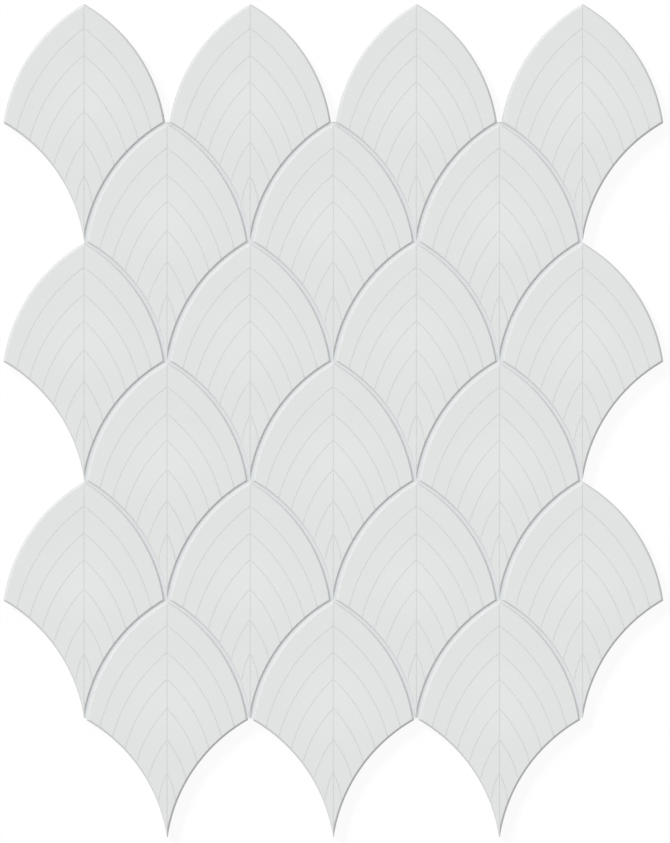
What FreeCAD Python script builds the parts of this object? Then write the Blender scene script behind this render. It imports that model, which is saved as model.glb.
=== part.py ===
import FreeCAD, Part
import math
import os

import Sketcher

# Fish scale mosaic sheet: staggered rows of one tile shape, bonded edge to edge by a joint web.
# X runs along the rows, +Y points to the apexes of the tiles, +Z out of the glazed face.
# The origin is under the middle of the sheet, on the plane of the tile backs.

ROWS = 6
TILES_IN_LONG_ROW = 4

# Driving sizes in millimetres
SIZES = {
    "tile_width": 61.0,  # between the two side corners
    "tile_length": 90.0,  # from the apex to the point where the flanks would meet
    "tile_thickness": 6.0,
    "arch_radius": 61.6,  # one radius draws both arch sides and both hollow flanks
    "tip_flat": 0.2,  # width of the blunt end of the tip
    "arris_width": 0.75,  # bevel round the face, across
    "arris_drop": 0.75,  # bevel round the face, down
    "joint_across": 1.8,  # between the side corners of two tiles in one row
    "joint_along": 0.15,  # from the corner line of one row to the apexes of the next
    "web_face_recess": 0.6,  # joint web below the tile faces, a little up the bevels
    "web_back_recess": 0.5,  # joint web above the tile backs
}

# Sizes that follow from the driving ones. The centres are measured from the apex of a tile:
# an arch side turns about a centre beyond the midrib, a flank about the centre of the arch it receives.
DERIVED = {
    "half_width": "=tile_width / 2",
    "half_length": "=tile_length / 2",
    "chord": "=sqrt(half_width ^ 2 + half_length ^ 2)",
    "chord_to_centre": "=sqrt(arch_radius ^ 2 - (chord / 2) ^ 2)",
    "arch_centre_across": "=chord_to_centre * half_length / chord - half_width / 2",
    "arch_centre_down": "=chord_to_centre * half_width / chord + half_length / 2",
    "flank_centre_across": "=half_width + arch_centre_across",
    "flank_centre_down": "=half_length + arch_centre_down",
    "tip_reach": "=flank_centre_down - sqrt(arch_radius ^ 2 - (flank_centre_across - tip_flat / 2) ^ 2)",
    "half_pitch": "=half_width + joint_across / 2",
    "row_pitch": "=half_length + joint_along",
}


def make_sheet(doc):
    """Put the driving sizes and the sizes that follow from them into a spreadsheet."""
    sheet = doc.addObject("Spreadsheet::Sheet", "sizes")
    cells = list(SIZES.items()) + list(DERIVED.items())
    for row, (alias, content) in enumerate(cells, start=1):
        sheet.set(f"A{row}", alias)
        sheet.set(f"B{row}", str(content))
        sheet.setAlias(f"B{row}", alias)
    doc.recompute()
    return sheet


def origin_plane(body, role):
    """Return the named origin plane of a body."""
    return next(plane for plane in body.Origin.OriginFeatures if plane.Role == role)


def bind(sketch, name, kind, places, expression):
    """Add a named dimension to a sketch and tie it to the sizes."""
    start_value = sketch.evalExpression(expression)
    index = sketch.addConstraint(Sketcher.Constraint(kind, *places, float(start_value)))
    sketch.renameConstraint(index, name)
    sketch.setExpression(f"Constraints.{name}", expression)


def arc_about(centre, radius, start_point, end_point):
    """Return the counter-clockwise arc between two points of a circle."""
    start_angle = math.atan2(start_point.y - centre.y, start_point.x - centre.x)
    end_angle = math.atan2(end_point.y - centre.y, end_point.x - centre.x)
    circle = Part.Circle(centre, FreeCAD.Vector(0, 0, 1), radius)
    return Part.ArcOfCircle(circle, start_angle, end_angle)


def draw_outline(body, sheet):
    """Draw the tile in plan: two arch sides, two hollow flanks of the same radius and a blunt tip."""
    sketch = body.newObject("Sketcher::SketchObject", "outline")
    sketch.AttachmentSupport = [(origin_plane(body, "XY_Plane"), "")]
    sketch.MapMode = "FlatFace"

    vector = FreeCAD.Vector
    radius = sheet.arch_radius
    arch_across = sheet.arch_centre_across
    arch_down = sheet.arch_centre_down
    flank_across = sheet.flank_centre_across
    flank_down = sheet.flank_centre_down
    apex = vector(0, 0, 0)
    right_corner = vector(sheet.half_width, -sheet.half_length, 0)
    left_corner = vector(-sheet.half_width, -sheet.half_length, 0)
    tip_right = vector(sheet.tip_flat / 2, -sheet.tip_reach, 0)
    tip_left = vector(-sheet.tip_flat / 2, -sheet.tip_reach, 0)

    right_arch = sketch.addGeometry(arc_about(vector(-arch_across, -arch_down, 0), radius, right_corner, apex))
    left_arch = sketch.addGeometry(arc_about(vector(arch_across, -arch_down, 0), radius, apex, left_corner))
    right_flank = sketch.addGeometry(
        arc_about(vector(flank_across, -flank_down, 0), radius, right_corner, tip_right)
    )
    left_flank = sketch.addGeometry(
        arc_about(vector(-flank_across, -flank_down, 0), radius, tip_left, left_corner)
    )
    tip = sketch.addGeometry(Part.LineSegment(tip_right, tip_left))
    flank_meeting = sketch.addGeometry(Part.Point(vector(0, -sheet.tile_length, 0)), True)

    start, end = 1, 2
    origin, upright_axis = -1, -2
    meetings = [
        (right_arch, end, origin, start),
        (left_arch, start, right_arch, end),
        (right_flank, start, right_arch, start),
        (left_flank, end, left_arch, end),
        (tip, start, right_flank, end),
        (tip, end, left_flank, start),
    ]
    for meeting in meetings:
        sketch.addConstraint(Sketcher.Constraint("Coincident", *meeting))
    for arc in (left_arch, right_flank, left_flank):
        sketch.addConstraint(Sketcher.Constraint("Equal", right_arch, arc))
    sketch.addConstraint(
        Sketcher.Constraint("Symmetric", left_arch, end, right_arch, start, upright_axis)
    )
    sketch.addConstraint(Sketcher.Constraint("Horizontal", tip))
    for line in (upright_axis, right_flank, left_flank):
        sketch.addConstraint(Sketcher.Constraint("PointOnObject", flank_meeting, start, line))

    bind(sketch, "arch_radius", "Radius", (right_arch,), "sizes.arch_radius")
    bind(sketch, "tile_width", "DistanceX", (left_arch, end, right_arch, start), "sizes.tile_width")
    bind(sketch, "corner_drop", "DistanceY", (right_arch, start, origin, start), "sizes.half_length")
    bind(sketch, "tile_length", "DistanceY", (flank_meeting, start, origin, start), "sizes.tile_length")
    bind(sketch, "tip_flat", "DistanceX", (tip, end, tip, start), "sizes.tip_flat")
    return sketch


def cut_arris(body, sheet, name, outward, centre_across, centre_down):
    """Bevel the face edge along one arc, with a cutter turned about the centre of that arc."""
    sketch = body.newObject("Sketcher::SketchObject", f"{name}_cutter")
    sketch.AttachmentSupport = [(origin_plane(body, "XZ_Plane"), "")]
    sketch.MapMode = "FlatFace"
    sketch.setExpression("AttachmentOffset.Base.x", centre_across)
    sketch.setExpression("AttachmentOffset.Base.z", centre_down)

    # The bevel line runs on past the wall and past the face by one bevel, so the cut leaves no skin.
    inner_reach = sheet.arch_radius - outward * 2 * sheet.arris_width
    outer_reach = sheet.arch_radius + outward * sheet.arris_width
    top_level = sheet.tile_thickness + sheet.arris_drop
    low_level = sheet.tile_thickness - 2 * sheet.arris_drop
    inner_top = FreeCAD.Vector(inner_reach, top_level, 0)
    outer_low = FreeCAD.Vector(outer_reach, low_level, 0)
    outer_top = FreeCAD.Vector(outer_reach, top_level, 0)
    slope = sketch.addGeometry(Part.LineSegment(inner_top, outer_low))
    back = sketch.addGeometry(Part.LineSegment(outer_low, outer_top))
    top = sketch.addGeometry(Part.LineSegment(outer_top, inner_top))

    start, end = 1, 2
    origin = -1
    for meeting in ((slope, end, back, start), (back, end, top, start), (top, end, slope, start)):
        sketch.addConstraint(Sketcher.Constraint("Coincident", *meeting))
    sketch.addConstraint(Sketcher.Constraint("Vertical", back))
    sketch.addConstraint(Sketcher.Constraint("Horizontal", top))
    inner_expression = f"sizes.arch_radius - {outward * 2} * sizes.arris_width"
    outer_expression = f"sizes.arch_radius + {outward} * sizes.arris_width"
    top_expression = "sizes.tile_thickness + sizes.arris_drop"
    low_expression = "sizes.tile_thickness - 2 * sizes.arris_drop"
    bind(sketch, "inner_reach", "DistanceX", (origin, start, slope, start), inner_expression)
    bind(sketch, "outer_reach", "DistanceX", (origin, start, slope, end), outer_expression)
    bind(sketch, "top_level", "DistanceY", (origin, start, slope, start), top_expression)
    bind(sketch, "low_level", "DistanceY", (origin, start, slope, end), low_expression)

    groove = body.newObject("PartDesign::Groove", name)
    groove.Profile = sketch
    groove.ReferenceAxis = (sketch, ["V_Axis"])
    groove.Angle = 360
    return groove


def make_tile(doc, sheet, label, row, half_pitches):
    """Build one pressed tile and lay it in its row, a number of half pitches from the middle."""
    body = doc.addObject("PartDesign::Body", label)
    body.Label = label
    outline = draw_outline(body, sheet)
    slab = body.newObject("PartDesign::Pad", "slab")
    slab.Profile = outline
    slab.setExpression("Length", "sizes.tile_thickness")
    arch_arris = cut_arris(
        body, sheet, "arch_arris", 1, "-sizes.arch_centre_across", "sizes.arch_centre_down"
    )
    flank_arris = cut_arris(
        body, sheet, "flank_arris", -1, "sizes.flank_centre_across", "sizes.flank_centre_down"
    )
    other_side = body.newObject("PartDesign::Mirrored", "other_side")
    other_side.Originals = [arch_arris, flank_arris]
    other_side.MirrorPlane = (outline, ["V_Axis"])
    body.Tip = other_side

    rows_above = f"{row} * sizes.row_pitch"
    first_apex = f"({ROWS - 1} * sizes.row_pitch + sizes.tip_reach) / 2"
    body.setExpression("Placement.Base.x", f"{half_pitches} * sizes.half_pitch")
    body.setExpression("Placement.Base.y", f"{first_apex} - {rows_above}")
    return body


def make_joint_web(doc, tiles):
    """Fill the joints with a plate that reaches across every joint mouth, less the tiles themselves."""
    plate = doc.addObject("Part::Box", "joint_plate")
    middle_to_side = f"{TILES_IN_LONG_ROW - 1} * sizes.half_pitch"
    corner_lines_apart = f"{ROWS - 1} * sizes.row_pitch"
    last_corner_line = (
        f"({corner_lines_apart} + sizes.tip_reach) / 2 - {corner_lines_apart} - sizes.half_length"
    )
    plate.setExpression("Length", f"2 * {middle_to_side}")
    plate.setExpression("Width", corner_lines_apart)
    plate.setExpression(
        "Height", "sizes.tile_thickness - sizes.web_face_recess - sizes.web_back_recess"
    )
    plate.setExpression("Placement.Base.x", f"-{middle_to_side}")
    plate.setExpression("Placement.Base.y", last_corner_line)
    plate.setExpression("Placement.Base.z", "sizes.web_back_recess")

    all_tiles = doc.addObject("Part::Compound", "all_tiles")
    all_tiles.Links = tiles
    web = doc.addObject("Part::Cut", "joint_web")
    web.Label = "joint_web"
    web.Base = plate
    web.Tool = all_tiles
    return web


def check(doc, parts):
    """Stop if any object failed or any sub-part is not one valid solid."""
    for thing in doc.Objects:
        if "Invalid" in thing.State or "Error" in thing.State:
            raise RuntimeError(f"{thing.Label} failed: {thing.State}")
    for part in parts:
        shape = part.Shape
        if shape.isNull() or not shape.isValid() or len(shape.Solids) != 1:
            raise RuntimeError(f"{part.Label} is not one valid solid")


doc = FreeCAD.newDocument("fish_scale_sheet")
sheet = make_sheet(doc)

# Long and short rows take turns, each set half a pitch from the row above.
tiles = []
for row in range(ROWS):
    tiles_in_row = TILES_IN_LONG_ROW - row % 2
    for place in range(tiles_in_row):
        half_pitches = 2 * place - (tiles_in_row - 1)
        label = f"tile_row{row + 1}_{place + 1}"
        tiles.append(make_tile(doc, sheet, label, row, half_pitches))
web = make_joint_web(doc, tiles)
doc.recompute()

parts = tiles + [web]
check(doc, parts)
os.makedirs("parts", exist_ok=True)
for part in parts:
    part.Shape.exportStep(f"parts/{part.Label}.step")
    print(part.Label, round(part.Shape.Volume, 1), part.Shape.BoundBox)
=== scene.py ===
import math

import bpy
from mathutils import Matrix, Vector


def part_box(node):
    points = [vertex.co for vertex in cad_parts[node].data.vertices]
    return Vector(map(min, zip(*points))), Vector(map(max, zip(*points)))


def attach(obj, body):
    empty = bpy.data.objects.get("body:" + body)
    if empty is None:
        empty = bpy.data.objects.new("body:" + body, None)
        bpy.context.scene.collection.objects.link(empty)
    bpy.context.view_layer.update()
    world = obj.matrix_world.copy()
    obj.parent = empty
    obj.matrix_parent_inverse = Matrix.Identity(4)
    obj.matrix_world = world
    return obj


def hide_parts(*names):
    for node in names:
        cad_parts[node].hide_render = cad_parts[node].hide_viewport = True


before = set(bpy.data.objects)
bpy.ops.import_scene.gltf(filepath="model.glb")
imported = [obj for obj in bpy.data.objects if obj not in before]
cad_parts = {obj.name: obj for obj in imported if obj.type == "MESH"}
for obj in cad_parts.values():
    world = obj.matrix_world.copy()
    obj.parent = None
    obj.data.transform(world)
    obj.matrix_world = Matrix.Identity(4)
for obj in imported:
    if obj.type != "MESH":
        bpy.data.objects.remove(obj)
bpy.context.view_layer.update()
bpy.ops.object.select_all(action="DESELECT")


# Tile blank
# A dust-pressed stoneware slab: a pointed arch above, two hollow flanks below that run to a point.
# All four sides have one radius, so an arch nests in the flanks of the tiles above it. The press
# leaves a soft 45 degree arris round the face.
ARCH_RADIUS = 0.0616
CORNER_DROP = 0.045
ARRIS_WIDTH = 0.0008
ARRIS_DROP = 0.00075
ARRIS_RINGS = 6
ARRIS_FULLNESS = 1.12
TOOL_CLEARANCE = 0.001
DISC_SIDES = 240
SLIVER = 1e-6

low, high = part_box("tile_row1_1")
half_width = (high.x - low.x) / 2
thickness = high.z - low.z
tile_reach = high.y - low.y

# The apex of the blank is at the origin, and each side turns about a centre of its own.
chord = math.hypot(half_width, CORNER_DROP)
chord_to_centre = math.sqrt(ARCH_RADIUS**2 - (chord / 2) ** 2)
arch_across = chord_to_centre * CORNER_DROP / chord - half_width / 2
arch_down = chord_to_centre * half_width / chord + CORNER_DROP / 2
flank_across = arch_across + half_width
flank_down = arch_down + CORNER_DROP


def arris_ring(step):
    """How far in from the wall, and how far below the face, one ring of the arris lies."""
    turn = math.pi / 2 * step / ARRIS_RINGS
    inward = 1 - math.cos(turn) ** (2 / ARRIS_FULLNESS)
    below = 1 - math.sin(turn) ** (2 / ARRIS_FULLNESS)
    return ARRIS_WIDTH * inward, ARRIS_DROP * below


def turned_disc(across, down, rings):
    """A round block drawn up ring by ring, each ring given by its radius and height."""
    radius, height = rings[0]
    bpy.ops.mesh.primitive_circle_add(
        vertices=DISC_SIDES, radius=radius, fill_type="NGON", location=(across, -down, height)
    )
    bpy.ops.object.transform_apply(location=True)
    disc = bpy.context.object
    bpy.ops.object.mode_set(mode="EDIT")
    for next_radius, next_height in rings[1:]:
        rise = (0, 0, next_height - height)
        growth = next_radius / radius
        bpy.ops.mesh.extrude_region_move(TRANSFORM_OT_translate={"value": rise})
        bpy.ops.transform.resize(value=(growth, growth, 1), center_override=(across, -down, 0))
        radius, height = next_radius, next_height
    bpy.ops.mesh.select_all(action="SELECT")
    bpy.ops.mesh.normals_make_consistent(inside=False)
    bpy.ops.object.mode_set(mode="OBJECT")
    disc.select_set(False)
    return disc


def shape_with(block, tool, operation, crossing=False):
    """Shapes a block with a tool in one Boolean step, and puts the tool away."""
    step = block.modifiers.new("tool", "BOOLEAN")
    step.operation = operation
    step.solver = "EXACT"
    step.use_self = crossing
    step.material_mode = "TRANSFER"
    step.object = tool
    bpy.context.view_layer.objects.active = block
    bpy.ops.object.modifier_apply(modifier=step.name)
    bpy.data.objects.remove(tool)


arch_rings = [(ARCH_RADIUS, 0)]
flank_rings = [(ARCH_RADIUS, -TOOL_CLEARANCE)]
for step in range(ARRIS_RINGS + 1):
    inward, below = arris_ring(step)
    arch_rings.append((ARCH_RADIUS - inward, thickness - below))
    flank_rings.append((ARCH_RADIUS + inward, thickness - below))
flank_rings.append((ARCH_RADIUS + ARRIS_WIDTH, thickness + TOOL_CLEARANCE))

tile = turned_disc(-arch_across, arch_down, arch_rings)
tile.name = "tile_blank"
shape_with(tile, turned_disc(arch_across, arch_down, arch_rings), "INTERSECT")
for side in (-1, 1):
    shape_with(tile, turned_disc(side * flank_across, flank_down, flank_rings), "DIFFERENCE")

tile.select_set(True)
bpy.ops.object.mode_set(mode="EDIT")
bpy.ops.mesh.select_all(action="SELECT")
bpy.ops.mesh.bisect(plane_co=(0, -tile_reach, 0), plane_no=(0, -1, 0), clear_outer=True, use_fill=True)
bpy.ops.mesh.select_all(action="SELECT")
bpy.ops.mesh.remove_doubles(threshold=SLIVER)
bpy.ops.mesh.normals_make_consistent(inside=False)
bpy.ops.object.mode_set(mode="OBJECT")
tile.select_set(False)


# Tile glaze
# A satin pale grey-white glaze over the face, the arris and most of the walls. Its colour is palest
# over the middle of the leaf. The foot of the walls and the back are bare fired clay.
GLAZE_COLOUR = (0.759, 0.775, 0.767)
# The colour is made paler towards the middle of the leaf by this gain, over this reach around this
# place.
GLAZE_MIDDLE_GAIN = 1.032
GLAZE_MIDDLE_DOWN = 0.0367
GLAZE_MIDDLE_REACH = 0.0234
GLAZE_CLOUDS = 90
GLAZE_MOTTLE = 0.012
GLAZE_SHINE = 0.22
GLAZE_ROUGHNESS = (0.58, 0.68)
GLAZE_DULL_PATCHES = 140
GLAZE_RIPPLES = 420
GLAZE_RIPPLE_SHARE = 0.35
# Painted shade: below the face, the arris and the walls are darkened to this share of the glaze colour.
ARRIS_PAINTED_SHADE = 0.875
ARRIS_PAINTED_SHADE_FROM = 0.00008
ARRIS_PAINTED_SHADE_FULL = 0.00022
GLAZE_FOOT = 0.0013
GLAZE_FOOT_EDGE = 0.0001
GLAZE_FOOT_WAVES = 260
GLAZE_FOOT_WAVER = 0.0006
CLAY_COLOUR = (0.66, 0.60, 0.52)
CLAY_GRAINS = 2600
CLAY_SHADES = (0.86, 1.1)
CLAY_ROUGHNESS = (0.8, 0.95)
TILE_RELIEF = 0.00008
TILE_RELIEF_STRENGTH = 0.35
NOISE_ROUGHNESS = 0.55
NOISE_REACH = (0.3, 0.7)


def add_node(tree, kind, **settings):
    """A new shader node with its settings made, its input values set by socket name."""
    node = tree.nodes.new(kind)
    for name, value in settings.items():
        if name in node.inputs:
            node.inputs[name].default_value = value
        else:
            setattr(node, name, value)
    return node


def noise(tree, place, scale, detail):
    """A noise pattern on the object's own coordinates, scale given in spots to the metre."""
    grain = add_node(tree, "ShaderNodeTexNoise", Scale=scale, Detail=detail, Roughness=NOISE_ROUGHNESS)
    tree.links.new(place.outputs["Object"], grain.inputs["Vector"])
    return grain.outputs["Fac"]


def spread(tree, value, low_in, high_in, low_out, high_out, smooth="LINEAR"):
    """Carries a value from one range to another, held at both ends."""
    ranged = add_node(tree, "ShaderNodeMapRange", interpolation_type=smooth, clamp=True)
    ranged.inputs["From Min"].default_value = low_in
    ranged.inputs["From Max"].default_value = high_in
    ranged.inputs["To Min"].default_value = low_out
    ranged.inputs["To Max"].default_value = high_out
    tree.links.new(value, ranged.inputs["Value"])
    return ranged.outputs["Result"]


def varied(tree, grain, low_out, high_out):
    """Carries a noise pattern from the values that most of it has to a range of its own."""
    return spread(tree, grain, *NOISE_REACH, low_out, high_out)


def combined(tree, operation, first, second):
    """One Math step on two values or sockets."""
    step = add_node(tree, "ShaderNodeMath", operation=operation)
    for socket, value in zip(step.inputs, (first, second)):
        if isinstance(value, (int, float)):
            socket.default_value = value
        else:
            tree.links.new(value, socket)
    return step.outputs["Value"]


def tinted(tree, colour, gain):
    """A colour made lighter or darker by a gain that varies over the surface."""
    tint = add_node(tree, "ShaderNodeVectorMath", operation="SCALE")
    tint.inputs[0].default_value = colour
    tree.links.new(gain, tint.inputs["Scale"])
    return tint.outputs["Vector"]


def mixed(tree, kind, factor, first, second):
    """A blend of two colours or two values by a factor."""
    blend = add_node(tree, "ShaderNodeMix", data_type=kind)
    sockets = [socket for socket in blend.inputs if socket.enabled]
    for socket, value in zip(sockets, (factor, first, second)):
        tree.links.new(value, socket)
    return next(socket for socket in blend.outputs if socket.enabled)


def grained(tree, shader, grain, strength, relief):
    """Gives a shader the fine relief of a grain, relief being its height in metres."""
    bump = add_node(tree, "ShaderNodeBump", Strength=strength, Distance=relief)
    tree.links.new(grain, bump.inputs["Height"])
    tree.links.new(bump.outputs["Normal"], shader.inputs["Normal"])


def fired_glaze(name, shade):
    """The glaze of a tile, at a shade of its full colour, with the bare clay below it."""
    material = bpy.data.materials.new(name)
    material.use_nodes = True
    tree = material.node_tree
    shader = tree.nodes["Principled BSDF"]
    place = add_node(tree, "ShaderNodeTexCoord")
    plan = add_node(tree, "ShaderNodeUVMap", uv_map="plan")
    height = add_node(tree, "ShaderNodeSeparateXYZ")
    tree.links.new(place.outputs["Object"], height.inputs["Vector"])

    # Palest over the middle of the leaf, faintly clouded, with painted shade on the arris and walls.
    leaf_middle = add_node(tree, "ShaderNodeVectorMath", operation="DISTANCE")
    tree.links.new(plan.outputs["UV"], leaf_middle.inputs[0])
    leaf_middle.inputs[1].default_value = (0.5, 1 - GLAZE_MIDDLE_DOWN / tile_reach, 0)
    paler_middle = spread(
        tree,
        leaf_middle.outputs["Value"],
        0,
        GLAZE_MIDDLE_REACH / tile_reach,
        GLAZE_MIDDLE_GAIN * shade,
        shade,
        "SMOOTHSTEP",
    )
    clouds = noise(tree, place, GLAZE_CLOUDS, detail=3)
    mottle = varied(tree, clouds, 1 - GLAZE_MOTTLE / 2, 1 + GLAZE_MOTTLE / 2)
    # Painted shade: the colour darkens down the arris and the walls, where shade falls in the joints.
    arris_painted_shade = spread(
        tree,
        height.outputs["Z"],
        thickness - ARRIS_PAINTED_SHADE_FULL,
        thickness - ARRIS_PAINTED_SHADE_FROM,
        ARRIS_PAINTED_SHADE,
        1,
    )
    gain = combined(tree, "MULTIPLY", combined(tree, "MULTIPLY", paler_middle, mottle), arris_painted_shade)
    glaze_colour = tinted(tree, GLAZE_COLOUR, gain)

    clay_grain = noise(tree, place, CLAY_GRAINS, detail=4)
    clay_colour = tinted(tree, CLAY_COLOUR, varied(tree, clay_grain, *CLAY_SHADES))

    # The glaze ends in a wavering line a little above the foot of the walls.
    waves = noise(tree, place, GLAZE_FOOT_WAVES, detail=2)
    waver = varied(tree, waves, -GLAZE_FOOT_WAVER / 2, GLAZE_FOOT_WAVER / 2)
    above_foot = combined(tree, "ADD", height.outputs["Z"], waver)
    glazed = spread(
        tree, above_foot, GLAZE_FOOT - GLAZE_FOOT_EDGE, GLAZE_FOOT + GLAZE_FOOT_EDGE, 0, 1, "SMOOTHSTEP"
    )

    satin = varied(tree, noise(tree, place, GLAZE_DULL_PATCHES, detail=3), *GLAZE_ROUGHNESS)
    chalky = varied(tree, clay_grain, *CLAY_ROUGHNESS)
    ripple = combined(tree, "MULTIPLY", noise(tree, place, GLAZE_RIPPLES, detail=2), GLAZE_RIPPLE_SHARE)
    tree.links.new(mixed(tree, "RGBA", glazed, clay_colour, glaze_colour), shader.inputs["Base Color"])
    tree.links.new(mixed(tree, "FLOAT", glazed, chalky, satin), shader.inputs["Roughness"])
    shader.inputs["Specular IOR Level"].default_value = GLAZE_SHINE
    grain = mixed(tree, "FLOAT", glazed, clay_grain, ripple)
    grained(tree, shader, grain, TILE_RELIEF_STRENGTH, TILE_RELIEF)
    return material


face_glaze = fired_glaze("satin_glaze", shade=1)
tile.data.materials.clear()
tile.data.materials.append(face_glaze)


# Leaf veins
# Shallow round-bottomed lines that the press leaves in the face: a narrow straight midrib from apex
# to point, and six pairs of bowed side veins from it down and out to the arris of the flanks. The
# glaze pools in them and looks a little darker there.
MIDRIB_WIDTH = 0.00036
MIDRIB_DEPTH = 0.00004
MIDRIB_SHADE = 0.845
VEIN_WIDTH = 0.00044
VEIN_DEPTH = 0.000035
VEIN_SHADE = 0.874
VEIN_DROPS = (0.0093, 0.0195, 0.0295, 0.0406, 0.0524, 0.0649)
VEIN_ENDS = (0.0255, 0.0207, 0.0160, 0.0116, 0.0074, 0.0033)
VEIN_BOW = 0.036
VEIN_BOW_GROWTH = 1.18
VEIN_STOP = 0.0005
VEIN_STEPS = 24
NOSE_SIDES = 48
SOFT_EDGE = math.radians(40)

midrib_glaze = fired_glaze("glaze_in_the_midrib", shade=MIDRIB_SHADE)
vein_glaze = fired_glaze("glaze_in_the_side_veins", shade=VEIN_SHADE)


def round_nose(width, depth):
    """Radius and height of the round bar that leaves a line of one width and depth in the face."""
    radius = (width**2 / 4 + depth**2) / (2 * depth)
    return radius, thickness + radius - depth


def side_vein(drop, end, side):
    """A round-nosed bar bent along one side vein, from inside the midrib to over the arris."""
    # The vein heads for a place on the wall of the flank, on an arc that bows more the longer it runs.
    end_down = flank_down - math.sqrt(ARCH_RADIUS**2 - (flank_across - end) ** 2)
    run = math.hypot(end, end_down - drop)
    bow = run * (VEIN_BOW + VEIN_BOW_GROWTH * run)
    bend = run**2 / (8 * bow) + bow / 2
    across = end / 2 - (bend - bow) * (end_down - drop) / run
    down = (drop + end_down) / 2 + (bend - bow) * end / run
    # It starts within the width of the midrib, and stops over the arris, a little short of the wall.
    start = math.atan2(down - drop, -across)
    start += (MIDRIB_WIDTH - VEIN_WIDTH * math.cos(start)) / 2 / math.sin(start) / bend
    finish = math.atan2(down - end_down, end - across) + VEIN_STOP / bend
    if side < 0:
        start, finish, across = math.pi - start, math.pi - finish, -across
    radius, height = round_nose(VEIN_WIDTH, VEIN_DEPTH)
    bpy.ops.mesh.primitive_circle_add(
        vertices=NOSE_SIDES,
        radius=radius,
        fill_type="NGON",
        location=(across + bend * math.cos(start), -down + bend * math.sin(start), height),
        rotation=(math.pi / 2, 0, start),
    )
    bpy.ops.object.transform_apply(location=True, rotation=True)
    bar = bpy.context.object
    bpy.ops.object.mode_set(mode="EDIT")
    bpy.ops.mesh.spin(steps=VEIN_STEPS, angle=start - finish, center=(across, -down, 0), axis=(0, 0, 1))
    bpy.ops.mesh.select_all(action="SELECT")
    bpy.ops.mesh.normals_make_consistent(inside=False)
    bpy.ops.object.mode_set(mode="OBJECT")
    bar.data.materials.append(vein_glaze)
    bar.select_set(False)
    return bar


bars = [side_vein(drop, end, side) for drop, end in zip(VEIN_DROPS, VEIN_ENDS) for side in (-1, 1)]
midrib_radius, midrib_height = round_nose(MIDRIB_WIDTH, MIDRIB_DEPTH)
bpy.ops.mesh.primitive_cylinder_add(
    vertices=NOSE_SIDES,
    radius=midrib_radius,
    depth=tile_reach + 2 * TOOL_CLEARANCE,
    location=(0, -tile_reach / 2, midrib_height),
    rotation=(math.pi / 2, 0, 0),
)
bpy.ops.object.transform_apply(location=True, rotation=True)
vein_die = bpy.context.object
vein_die.data.materials.append(midrib_glaze)
for bar in bars:
    bar.select_set(True)
bpy.ops.object.join()
vein_die.select_set(False)
shape_with(tile, vein_die, "DIFFERENCE", crossing=True)

tile.select_set(True)
bpy.ops.object.mode_set(mode="EDIT")
bpy.ops.mesh.select_all(action="SELECT")
bpy.ops.mesh.remove_doubles(threshold=SLIVER)
bpy.ops.mesh.dissolve_degenerate(threshold=SLIVER)
bpy.ops.object.mode_set(mode="OBJECT")

# The glaze finds the middle of each leaf by this map, whose length is one tile with the apex at the top.
plan = tile.data.uv_layers.new(name="plan")
for corner in tile.data.loops:
    point = tile.data.vertices[corner.vertex_index].co
    plan.data[corner.index].uv = (0.5 + point.x / tile_reach, 1 + point.y / tile_reach)

bpy.ops.object.shade_smooth_by_angle(angle=SOFT_EDGE)
flat_faces_lead = tile.modifiers.new("flat_faces_lead", "WEIGHTED_NORMAL")
flat_faces_lead.keep_sharp = True
bpy.ops.object.modifier_apply(modifier=flat_faces_lead.name)


# Sheet of tiles
# Twenty-one tiles from one press and one firing, laid face up in staggered rows, each on the place
# that the frame gives it.
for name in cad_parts:
    if not name.startswith("tile_row"):
        continue
    low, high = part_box(name)
    bpy.ops.object.select_all(action="DESELECT")
    tile.select_set(True)
    bpy.context.view_layer.objects.active = tile
    bpy.ops.object.duplicate(linked=False)
    laid = bpy.context.object
    laid.name = "glazed_" + name
    laid.location = ((low.x + high.x) / 2, high.y, low.z)
    bpy.ops.object.transform_apply(location=True)
    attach(laid, "root")
    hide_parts(name)
bpy.data.objects.remove(tile)


# Joint web
# The soft light filler that bonds the tiles edge to edge, up to a little way on their arrises. It
# sinks along the middle as it sets, so the joints read as narrow pale blue-grey troughs. Its upper
# ends swell above the corners of the tiles, and its lower ends stand back from their points.
WEB_SWELL = 0.00035
WEB_SETBACK = 0.0006
WEB_LIP = 0.0008
WEB_SINK = ((0.00022, 0.000075), (0.00016, 0.00003))
FILLER_COLOUR = (0.71, 0.733, 0.748)
FILLER_CLOUDS = 200
FILLER_CLOUD_SHADES = (0.985, 1.015)
FILLER_SAND = 3200
FILLER_SAND_SHADES = (0.97, 1.03)
FILLER_ROUGHNESS = (0.75, 0.95)
FILLER_RELIEF = 0.00005
FILLER_RELIEF_STRENGTH = 0.5

low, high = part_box("joint_web")
wall_top = thickness - ARRIS_DROP
lip_line = high.y - WEB_LIP


def pick_faces(piece, wanted):
    """Selects the faces of a piece whose middle is wanted, and no others, in edit mode."""
    bpy.ops.mesh.select_all(action="DESELECT")
    bpy.ops.object.mode_set(mode="OBJECT")
    for face in piece.data.polygons:
        face.select = wanted(face.center)
    bpy.ops.object.mode_set(mode="EDIT")


web = bpy.data.objects.new("sunk_joint_web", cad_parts["joint_web"].data.copy())
bpy.context.collection.objects.link(web)
bpy.ops.object.select_all(action="DESELECT")
web.select_set(True)
bpy.context.view_layer.objects.active = web
bpy.ops.object.mode_set(mode="EDIT")
bpy.ops.mesh.select_mode(type="FACE")
bpy.ops.mesh.select_all(action="SELECT")
bpy.ops.mesh.remove_doubles(threshold=SLIVER)

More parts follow.
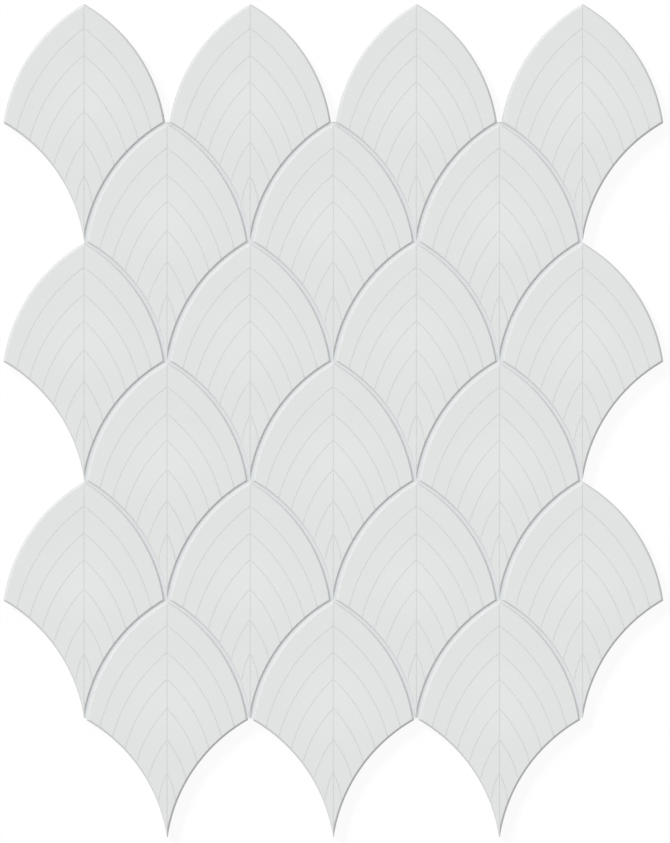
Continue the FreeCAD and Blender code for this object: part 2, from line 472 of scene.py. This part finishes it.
# The upper ends swell only below the arrises, and the lower ends are trimmed.
bpy.ops.mesh.bisect(plane_co=(0, 0, wall_top), plane_no=(0, 0, 1), threshold=SLIVER)
pick_faces(web, lambda middle: middle.y > high.y - SLIVER and middle.z < wall_top)
bpy.ops.mesh.extrude_region_move(TRANSFORM_OT_translate={"value": (0, WEB_SWELL, 0)})
bpy.ops.mesh.select_all(action="SELECT")
bpy.ops.mesh.bisect(
    plane_co=(0, low.y + WEB_SETBACK, 0),
    plane_no=(0, -1, 0),
    clear_outer=True,
    use_fill=True,
    threshold=SLIVER,
)

# The face sinks in two steps, up to a lip at the upper ends.
bpy.ops.mesh.select_all(action="SELECT")
bpy.ops.mesh.bisect(plane_co=(0, lip_line, 0), plane_no=(0, 1, 0), threshold=SLIVER)
pick_faces(web, lambda middle: middle.z > high.z - SLIVER and middle.y < lip_line)
for rim, sink in WEB_SINK:
    bpy.ops.mesh.inset(thickness=rim, depth=-sink, use_even_offset=False)
bpy.ops.object.mode_set(mode="OBJECT")
bpy.ops.object.shade_smooth_by_angle(angle=SOFT_EDGE)
web.select_set(False)

filler = bpy.data.materials.new("joint_filler")
filler.use_nodes = True
tree = filler.node_tree
shader = tree.nodes["Principled BSDF"]
place = add_node(tree, "ShaderNodeTexCoord")
sand = noise(tree, place, FILLER_SAND, detail=4)
clouds = noise(tree, place, FILLER_CLOUDS, detail=2)
sand_shade = varied(tree, sand, *FILLER_SAND_SHADES)
cloud_shade = varied(tree, clouds, *FILLER_CLOUD_SHADES)
shade = combined(tree, "MULTIPLY", sand_shade, cloud_shade)
tree.links.new(tinted(tree, FILLER_COLOUR, shade), shader.inputs["Base Color"])
tree.links.new(varied(tree, sand, *FILLER_ROUGHNESS), shader.inputs["Roughness"])
grained(tree, shader, sand, FILLER_RELIEF_STRENGTH, FILLER_RELIEF)
web.data.materials.clear()
web.data.materials.append(filler)
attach(web, "root")
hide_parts("joint_web")


# Table and light
# The sheet lies on a wide white table under even studio light, with one soft lamp from the upper
# left, and is seen from straight above.
WHITE = (1, 1, 1, 1)
TABLE_SIZE = 4
TABLE_GAP = 0.00002
TABLE_GREY = (0.8, 0.8, 0.8, 1)
TABLE_SHADOW = 0.08
LAMP_BEARING = math.radians(134)
LAMP_RISE = math.radians(42)
LAMP_STRENGTH = 2.17
LAMP_SOFTNESS = math.radians(12)
ROOM_LIGHT = 0.52
PICTURE_HEIGHT = 843
PIXEL_SIZE = 0.0003779
CAMERA_PLACE = (0.00062, -0.00033, 2.5)


def seen_directly(tree):
    """One where the camera, a reflection or a clear surface looks straight at the surface."""
    path = add_node(tree, "ShaderNodeLightPath")
    mirrored = combined(tree, "MAXIMUM", path.outputs["Is Camera Ray"], path.outputs["Is Glossy Ray"])
    return combined(tree, "MAXIMUM", mirrored, path.outputs["Is Transmission Ray"])


bpy.ops.object.select_all(action="DESELECT")
bpy.ops.mesh.primitive_plane_add(size=TABLE_SIZE, location=(0, 0, -TABLE_GAP))
bpy.ops.object.transform_apply(location=True)
table = bpy.context.object
table.name = "table"

# Seen directly, the table is white with a share of the sheet's shadow. It lights the sheet as matt grey.
table_white = bpy.data.materials.new("table_white")
table_white.use_nodes = True
tree = table_white.node_tree
tree.nodes.remove(tree.nodes["Principled BSDF"])
matt = add_node(tree, "ShaderNodeBsdfDiffuse", Color=TABLE_GREY)
bright = add_node(tree, "ShaderNodeBsdfDiffuse", Color=WHITE)
white = add_node(tree, "ShaderNodeEmission", Color=WHITE, Strength=1)
ground = add_node(tree, "ShaderNodeMixShader", Fac=TABLE_SHADOW)
tree.links.new(white.outputs["Emission"], ground.inputs[1])
tree.links.new(bright.outputs["BSDF"], ground.inputs[2])
surface = add_node(tree, "ShaderNodeMixShader")
tree.links.new(seen_directly(tree), surface.inputs["Fac"])
tree.links.new(matt.outputs["BSDF"], surface.inputs[1])
tree.links.new(ground.outputs["Shader"], surface.inputs[2])
tree.links.new(surface.outputs["Shader"], tree.nodes["Material Output"].inputs["Surface"])
table.data.materials.append(table_white)

bpy.ops.object.light_add(type="SUN", rotation=(0, math.pi / 2 - LAMP_RISE, LAMP_BEARING))
lamp = bpy.context.object.data
lamp.energy = LAMP_STRENGTH
lamp.angle = LAMP_SOFTNESS

room = bpy.data.worlds.new("studio")
bpy.context.scene.world = room
room.use_nodes = True
tree = room.node_tree
backdrop = tree.nodes["Background"]
backdrop.inputs["Color"].default_value = WHITE
tree.links.new(spread(tree, seen_directly(tree), 0, 1, ROOM_LIGHT, 1), backdrop.inputs["Strength"])

# The picture is taller than wide, so the width of the camera's sensor spans the height of the picture.
bpy.ops.object.camera_add(location=CAMERA_PLACE, rotation=(0, 0, 0))
camera = bpy.context.object
face_distance = CAMERA_PLACE[2] - thickness
camera.data.lens = camera.data.sensor_width * face_distance / (PICTURE_HEIGHT * PIXEL_SIZE)
bpy.context.scene.camera = camera
bpy.context.scene.view_settings.view_transform = "Standard"
